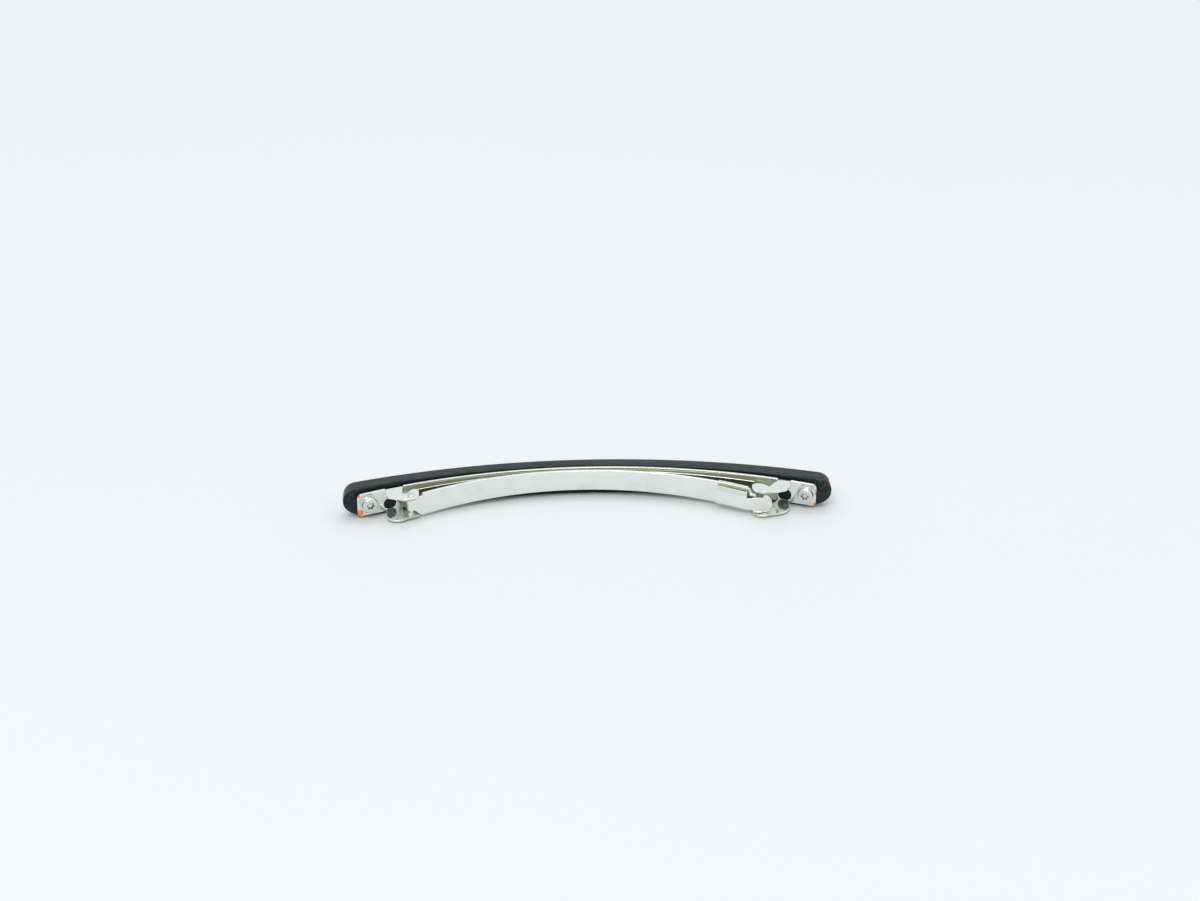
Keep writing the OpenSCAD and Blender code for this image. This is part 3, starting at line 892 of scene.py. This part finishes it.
# The lever's front face above the sleeve, in the groove and facing the viewer, is painted olive shade
lever_nickel = plate_finish(
    "plated lever sheet",
    [(Vector((-34.8, -4.6, 6.0)) * MILLIMETRE, 0.4)],
    1.0,
    [
        ("Object", "X", SLEEVE_FROM - 0.2, SLEEVE_FROM + 0.2),
        ("Object", "X", SLEEVE_TO + 0.2, SLEEVE_TO - 0.2),
        ("Object", "Z", GROOVE_BOTTOM - 0.1, GROOVE_BOTTOM + 0.1),
        TOWARDS_VIEWER,
    ],
)
lever = press("lever_bowed", [(lever_blank, lever_shape)], lever_nickel)
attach(lever, "clip_lever")
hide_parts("lever")


# The end sleeve
# Thin nickel-plated sheet folded round the lever near its free end. Its front wall runs on
# as the round-nosed tongue that snaps between the two catch wings, with a small lip below.
SLEEVE_SHEET = 0.35
SLEEVE_BENDS = [
    (-0.475, 2.75), (-0.475, -2.0), (-0.3, -2.175), (0.75, -2.175), (1.125, -1.75),
    (1.125, 1.2), (0.63, 2.12),
]
TONGUE_ROWS = [
    (3.4, -1.9), (3.75, -2.1), (4.4, -2.08), (5.1, -1.55), (5.5, -0.8), (5.6, 0), (5.5, 0.8),
    (5.1, 1.55), (4.4, 2.08), (3.85, 2.1), (3.7, 1.35), (2.6, 1.3), (0.9, 0.85),
]
FRONT_WALL = 1.125
SLEEVE_EDGE = 0.07
TONGUE_ROOT = 33.53
TONGUE_BEND = (33.2, 34.0)
TONGUE_SLOPE = math.radians(10)


def bend_line(corners, radius):
    """Points and lengths of a line through corners that are bent, not sharp."""
    spots = [Vector(corner) for corner in corners]
    points = [spots[0]]
    for before, here, after in zip(spots, spots[1:], spots[2:]):
        points += eased_corner(before, here, after, radius, 0.48, steps=6)
    points.append(spots[-1])
    lengths = [0.0]
    for first, second in zip(points, points[1:]):
        lengths.append(lengths[-1] + (second - first).length)
    return points, lengths


sleeve_line, sleeve_lengths = bend_line(SLEEVE_BENDS, 0.35)
wall_start = next(k for k, spot in enumerate(sleeve_line) if spot.x > FRONT_WALL - 0.005)


def front_reach(w):
    """Length across the blank at which the front wall has this height."""
    return sleeve_lengths[wall_start] + w - sleeve_line[wall_start].y


def front_height(s):
    return sleeve_line[wall_start].y + s - sleeve_lengths[wall_start]


def sleeve_section(s):
    """Place and outward side of the folded sheet's middle, at a length across the blank."""
    k = 0
    while k < len(sleeve_lengths) - 2 and s > sleeve_lengths[k + 1]:
        k += 1
    first, second = sleeve_line[k], sleeve_line[k + 1]
    ahead = (second - first).normalized()
    spot = first + ahead * (s - sleeve_lengths[k])
    share = (s - sleeve_lengths[k]) / (sleeve_lengths[k + 1] - sleeve_lengths[k])
    before = (first - sleeve_line[k - 1]).normalized() if k > 0 else ahead
    after = (sleeve_line[k + 2] - second).normalized() if k + 2 < len(sleeve_line) else ahead
    share = min(max(share, 0), 1)
    bent = ((before + ahead) * (1 - share) + (ahead + after) * share).normalized()
    return spot, Vector((-bent.y, bent.x))


def sleeve_shape(u, s, c):
    """Folds the blank across, bows it along the lever, and sends the tongue straight on."""
    spot, side = sleeve_section(s)
    flat = min(max((u - SLEEVE_TO + 0.08) / 0.3, 0), 1)
    if flat > 0:
        spot = spot.lerp(Vector((FRONT_WALL, front_height(s))), flat)
        side = side.lerp(Vector((-1, 0)), flat).normalized()
    spot = spot - side * c
    turn = math.asin((min(u, TONGUE_BEND[0]) - LEVER_MIDDLE) / LEVER_RADIUS)
    if u <= TONGUE_BEND[0]:
        return clasp(*on_bow(turn, LEVER_RADIUS - spot.x), spot.y)
    length = TONGUE_BEND[1] - TONGUE_BEND[0]
    curl = (turn - TONGUE_SLOPE) / length
    last = turn - curl * min(u - TONGUE_BEND[0], length)
    rest = max(u - TONGUE_BEND[1], 0)
    off = FRONT_WALL - spot.x
    place_u, place_v = on_bow(turn, LEVER_RADIUS - FRONT_WALL)
    place_u += (math.sin(turn) - math.sin(last)) / curl + rest * math.cos(last) + off * math.sin(last)
    place_v += (math.cos(turn) - math.cos(last)) / curl - rest * math.sin(last) + off * math.cos(last)
    return clasp(place_u, place_v, spot.y)


sleeve_corners = [(SLEEVE_FROM, 0.0), (SLEEVE_FROM, sleeve_lengths[-1])]
sleeve_corners += [(SLEEVE_TO - 0.1, sleeve_lengths[-1]), (SLEEVE_TO - 0.1, front_reach(0.85))]
sleeve_corners += [(TONGUE_ROOT + a, front_reach(w)) for a, w in reversed(TONGUE_ROWS)]
sleeve_corners += [(SLEEVE_TO, front_reach(-1.9)), (SLEEVE_TO, 0.0)]
sleeve_blank = stamp_blank(eased(sleeve_corners, 0.25), [], SLEEVE_SHEET, SLEEVE_EDGE)
score(sleeve_blank, (1, 0, 0), spread(SLEEVE_FROM, TONGUE_BEND[0], 0.5) + [TONGUE_BEND[0]])
score(sleeve_blank, (1, 0, 0), spread(TONGUE_BEND[0], TONGUE_BEND[1] + 0.1, 0.1))
score(sleeve_blank, (0, 1, 0), sleeve_lengths[1:-1])

LIP_FROM = 1.7
LIP_TO = 3.6
LIP_REACH = 0.75
LIP_MIDDLE = -1.925


def lip_shape(a, b, c):
    """The lip stands out from the tongue's lower edge towards the hand."""
    spot = sleeve_shape(TONGUE_ROOT + a, front_reach(LIP_MIDDLE + c), 0)
    ahead = sleeve_shape(TONGUE_ROOT + a + 0.01, front_reach(LIP_MIDDLE + c), 0) - spot
    up = clasp(0, 0, 1) - clasp(0, 0, 0)
    return spot + ahead.cross(up).normalized() * b * MILLIMETRE


lip_corners = [(LIP_FROM, -0.17), (LIP_TO, -0.17), (LIP_TO, LIP_REACH), (LIP_FROM, LIP_REACH)]
lip_blank = stamp_blank(eased(lip_corners, 0.3), [], SLEEVE_SHEET, SLEEVE_EDGE)
score(lip_blank, (1, 0, 0), spread(LIP_FROM, LIP_TO, 0.4))
# The sleeve's slanted stretch, facing up and towards the viewer, is painted olive shade at less than full
# strength
sleeve_nickel = plate_finish(
    "plated sleeve sheet", [], 1.4,
    [("Normal", "Z", 0.1, 0.3), ("Normal", "Z", 0.75, 0.55), ("Normal", "Y", -0.3, -0.6)],
    shade_strength=0.45,
)
sleeve_blanks = [(sleeve_blank, sleeve_shape), (lip_blank, lip_shape)]
sleeve = press("end_sleeve_folded", sleeve_blanks, sleeve_nickel)
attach(sleeve, "clip_lever")
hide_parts("end_sleeve")


# The hinge pin
# A short steel rivet that goes down through the upper ear, the lever's rolled end and the
# lower ear, and is peened over at both ends.
PIN_STEEL = (0.72, 0.72, 0.69, 1)
PIN_STEEL_DULL = (0.55, 0.55, 0.52, 1)
PIN_PROFILE = [
    (0.0, 2.84), (0.25, 2.835), (0.35, 2.80), (0.5, 2.82), (0.7, 2.83), (0.81, 2.805),
    (0.85, 2.76), (0.85, 2.73), (0.80, 2.72), (0.45, 2.72), (0.45, -0.82), (0.45, -1.75),
    (0.72, -1.80), (0.78, -1.86), (0.78, -2.16), (0.45, -2.19), (0.45, -2.72), (0.80, -2.72),
    (0.85, -2.75), (0.82, -2.81), (0.6, -2.84), (0.0, -2.84),
]

steel, steel_tree, steel_place = open_finish("turned steel")
steel_marks, steel_clouds = polish(
    steel_tree, steel_place, length=2600.0, fineness=2600.0, cloud_size=900.0
)
steel_tone = steel_clouds.ramp(0.4, 0.7) * 0.6
close_finish(steel_tree, {
    "Base Color": mix_colours(steel_tree, steel_tone, PIN_STEEL, PIN_STEEL_DULL),
    "Roughness": steel_marks * 0.14 + 0.14,
    "Metallic": 1.0,
})


def turned_rod(name, profile, place, sides, material):
    """Spins a profile of radius and height round an upright line, with its poles closed."""
    rod = bmesh.new()
    rings = []
    for radius, height in profile:
        if radius == 0:
            rings.append([rod.verts.new(place(0, 0, height))])
            continue
        ring = []
        for k in range(sides):
            turn = 2 * math.pi * k / sides
            spot = place(radius * math.cos(turn), radius * math.sin(turn), height)
            ring.append(rod.verts.new(spot))
        rings.append(ring)
    for first, second in zip(rings, rings[1:]):
        for k in range(sides):
            if len(first) == 1:
                rod.faces.new((first[0], second[k - 1], second[k]))
            elif len(second) == 1:
                rod.faces.new((first[k - 1], second[0], first[k]))
            else:
                rod.faces.new((first[k - 1], second[k - 1], second[k], first[k]))
    bmesh.ops.recalc_face_normals(rod, faces=rod.faces)
    mesh = bpy.data.meshes.new(name)
    rod.to_mesh(mesh)
    rod.free()
    mesh.shade_smooth()
    mesh.set_sharp_from_angle(angle=math.radians(50))
    mesh.materials.append(material)
    piece = bpy.data.objects.new(name, mesh)
    scene.collection.objects.link(piece)
    return piece


pin = turned_rod(
    "hinge_pin_peened", PIN_PROFILE,
    lambda a, b, height: clasp(PIVOT[0] + a, PIVOT[1] + b, height), 40, steel,
)
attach(pin, "clip_base")
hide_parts("hinge_pin")


# The screws
# Two small pan-head screws of bright steel with a six-lobed recess, driven through the
# plate's tabs into the bar. Each sits on its own thin washer.
SCREW_SIZES = {
    "Head": 3.3,
    "Head height": 1.2,
    "Washer": 3.8,
    "Washer sheet": 0.3,
    "Shank": 1.9,
    "Shank depth": 2.4,
    "Recess core": 1.2,
    "Recess lobe": 0.48,
    "Recess ring": 0.62,
    "Recess depth": 1.2,
    "Core depth": 0.35,
    "Left place": SCREW_PLACES[0],
    "Right place": SCREW_PLACES[1],
    "Seat": PLATE_SHEET + 0.04,
}
SCREW_SPINS = (0.2, -0.1)
CUTTER_DEPTH = 2.0
SHARP_TURN = math.radians(38)

screw_tree, screw_inlet, screw_size = open_shape_tree("Pan-head screws", SCREW_SIZES)


def drum(vertices, diameter, depth, rings=1):
    """A plain upright cylinder, centred on the origin."""
    return add_node(
        screw_tree, "GeometryNodeMeshCylinder",
        {"Vertices": vertices, "Fill Segments": rings, "Radius": diameter * 0.5, "Depth": depth},
    )


def rounded_disc(diameter, height, lift, roundness, rings, sharpness):
    """A turned disc whose top rolls over towards its rim, standing on a given height."""
    disc = drum(64, diameter, height, rings)
    x, y, z = axes(screw_tree, add_node(screw_tree, "GeometryNodeInputPosition"))
    share = ((x * x + y * y).root() / (diameter * 0.5)).below(1.0)
    drop = share.step("POWER", sharpness) * roundness * z.step("SIGN").above(0.0)
    return reshaped(screw_tree, disc, x, y, z - drop + height * 0.5 + lift)


seat = screw_size["Seat"]
under_head = seat + screw_size["Washer sheet"]
head_top = under_head + screw_size["Head height"]
washer = rounded_disc(screw_size["Washer"], screw_size["Washer sheet"], seat, 0.09, 12, 14.0)
head = rounded_disc(screw_size["Head"], screw_size["Head height"], under_head, 0.22, 24, 16.0)
shank_depth = screw_size["Shank depth"]
shank = rounded_disc(screw_size["Shank"], shank_depth + 0.5, shank_depth * -1.0, 0.0, 4, 2.0)
lobe_ring = add_node(
    screw_tree, "GeometryNodeMeshCircle", {"Vertices": 6, "Radius": screw_size["Recess ring"]}
)
lobes = add_node(
    screw_tree, "GeometryNodeInstanceOnPoints",
    {"Points": lobe_ring, "Instance": drum(20, screw_size["Recess lobe"], CUTTER_DEPTH)},
)
lobes = add_node(screw_tree, "GeometryNodeRealizeInstances", {"Geometry": lobes})
core = drum(48, screw_size["Recess core"], CUTTER_DEPTH)
recessed = add_node(
    screw_tree, "GeometryNodeMeshBoolean", {"Mesh 1": head}, operation="DIFFERENCE", solver="EXACT"
)
for cutter, depth in ((core, screw_size["Core depth"]), (lobes, screw_size["Recess depth"])):
    lift = join_axes(screw_tree, z=head_top - depth + CUTTER_DEPTH / 2)
    feed(screw_tree, recessed.inputs["Mesh 2"], moved(screw_tree, cutter, lift))
screw_join = add_node(screw_tree, "GeometryNodeJoinGeometry")
for part in (washer, recessed, shank):
    feed(screw_tree, screw_join.inputs[0], part)
screw_edge = add_node(screw_tree, "GeometryNodeInputMeshEdgeAngle")
screw_soft = add_node(
    screw_tree, "FunctionNodeCompare",
    {"A": screw_edge.outputs["Unsigned Angle"], "B": SHARP_TURN},
    data_type="FLOAT", operation="LESS_THAN",
)
screw_faces = add_node(screw_tree, "GeometryNodeSetShadeSmooth", {"Geometry": screw_join})
screw_edges = add_node(
    screw_tree, "GeometryNodeSetShadeSmooth",
    {"Geometry": screw_faces, "Shade Smooth": screw_soft}, domain="EDGE",
)
screw_pair = add_node(screw_tree, "GeometryNodeJoinGeometry")
for place, spin in zip(("Left place", "Right place"), SCREW_SPINS):
    upright = moved(screw_tree, screw_edges, rotation=(math.pi / 2, spin, 0))
    bow_turn = (screw_size[place] / BAR_HOLLOW_RADIUS).step("ARCSINE") * -1.0
    out = moved(screw_tree, upright, (0, BAR_HOLLOW_RADIUS, 0))
    bowed = moved(screw_tree, out, rotation=join_axes(screw_tree, z=bow_turn))
    back = moved(screw_tree, bowed, (0, PLATE_BACK - BAR_HOLLOW_RADIUS, 0))
    seated = moved(screw_tree, back, clasp(0, 0, SCREW_LIFT) / MILLIMETRE, (CLASP_LEAN, 0, 0))
    feed(screw_tree, screw_pair.inputs[0], seated)
screws = piece_from_tree("screws_driven", screw_tree, screw_inlet, screw_pair, steel, SCREW_SIZES)
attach(screws, "clip_base")
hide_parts("screw_left", "screw_right")


# The table
# A plain pale sheet that the clip stands on, wide enough to fill every view.
TABLE_WHITE = (0.650, 0.660, 0.664, 1)
TABLE_CLOUDED = (0.643, 0.653, 0.658, 1)
TABLE_REACH = 4
table_finish, table_tree, table_place = open_finish("pale table")
table_tone = noise(table_tree, table_place["Object"], 3.0, 2.0).ramp(0.3, 0.7)
close_finish(table_tree, {
    "Base Color": mix_colours(table_tree, table_tone, TABLE_WHITE, TABLE_CLOUDED),
    "Roughness": 0.7,
    "Specular IOR Level": 0.2,
})
table_corners = [(x * TABLE_REACH, y * TABLE_REACH, 0) for x, y in ((-1, -1), (1, -1), (1, 1), (-1, 1))]
table_mesh = bpy.data.meshes.new("table")
table_mesh.from_pydata(table_corners, [], [(0, 1, 2, 3)])
table_mesh.materials.append(table_finish)
table = bpy.data.objects.new("table", table_mesh)
scene.collection.objects.link(table)


# Light and camera
# Soft white light from all round, as in a small photo tent, with a wide soft box above and
# another in front, and the camera at the photograph's angle, looking down on the clasp's side.
world = bpy.data.worlds.new("photo tent")
scene.world = world
world.use_nodes = True
tent = world.node_tree.nodes["Background"]
tent.inputs["Color"].default_value = (0.955, 0.99, 1.0, 1)
tent.inputs["Strength"].default_value = 0.92


def soft_box(name, place, aim, size, power, colour):
    lamp = bpy.data.lights.new(name, "AREA")
    lamp.shape = "RECTANGLE"
    lamp.size, lamp.size_y = size
    lamp.energy = power
    lamp.color = colour
    box = bpy.data.objects.new(name, lamp)
    box.location = place
    box.rotation_euler = (Vector(aim) - Vector(place)).to_track_quat("-Z", "Y").to_euler()
    scene.collection.objects.link(box)


soft_box("overhead box", (0.3, 0.6, 2.0), (0, 0, 0), (1.1, 0.8), 7.0, (1.0, 0.99, 0.97))
soft_box("front box", (-0.4, -1.5, 1.9), (0, 0, 0), (1.4, 1.0), 30.0, (1.0, 1.0, 1.0))

CAMERA_DOWN = math.radians(27)
CAMERA_YAW = math.radians(3)
CAMERA_FOCUS = 2823.0
CAMERA_DISTANCE = 601.9
CAMERA_RIGHT = 2.99
CAMERA_UP = 9.175
CAMERA_ROLL = math.radians(0.126)
PICTURE_WIDTH = 1200.0
SENSOR_WIDTH = 36.0
forward = Vector((
    math.sin(CAMERA_YAW) * math.cos(CAMERA_DOWN),
    math.cos(CAMERA_YAW) * math.cos(CAMERA_DOWN),
    -math.sin(CAMERA_DOWN),
))
level = Vector((math.cos(CAMERA_YAW), -math.sin(CAMERA_YAW), 0))
rightward = level * math.cos(CAMERA_ROLL) + level.cross(forward) * math.sin(CAMERA_ROLL)
upward = rightward.cross(forward)
stand = CAMERA_RIGHT * rightward + CAMERA_UP * upward - CAMERA_DISTANCE * forward
stand += Vector((0, BAR_MIDDLE_LINE, 0))
camera_data = bpy.data.cameras.new("camera")
camera_data.sensor_width = SENSOR_WIDTH
camera_data.lens = SENSOR_WIDTH * CAMERA_FOCUS / PICTURE_WIDTH
camera_data.clip_start = 0.01
camera = bpy.data.objects.new("camera", camera_data)
pose = Matrix((rightward, upward, -forward)).transposed().to_4x4()
pose.translation = stand * MILLIMETRE
camera.matrix_world = pose
scene.collection.objects.link(camera)
scene.camera = camera
scene.view_settings.view_transform = "Standard"
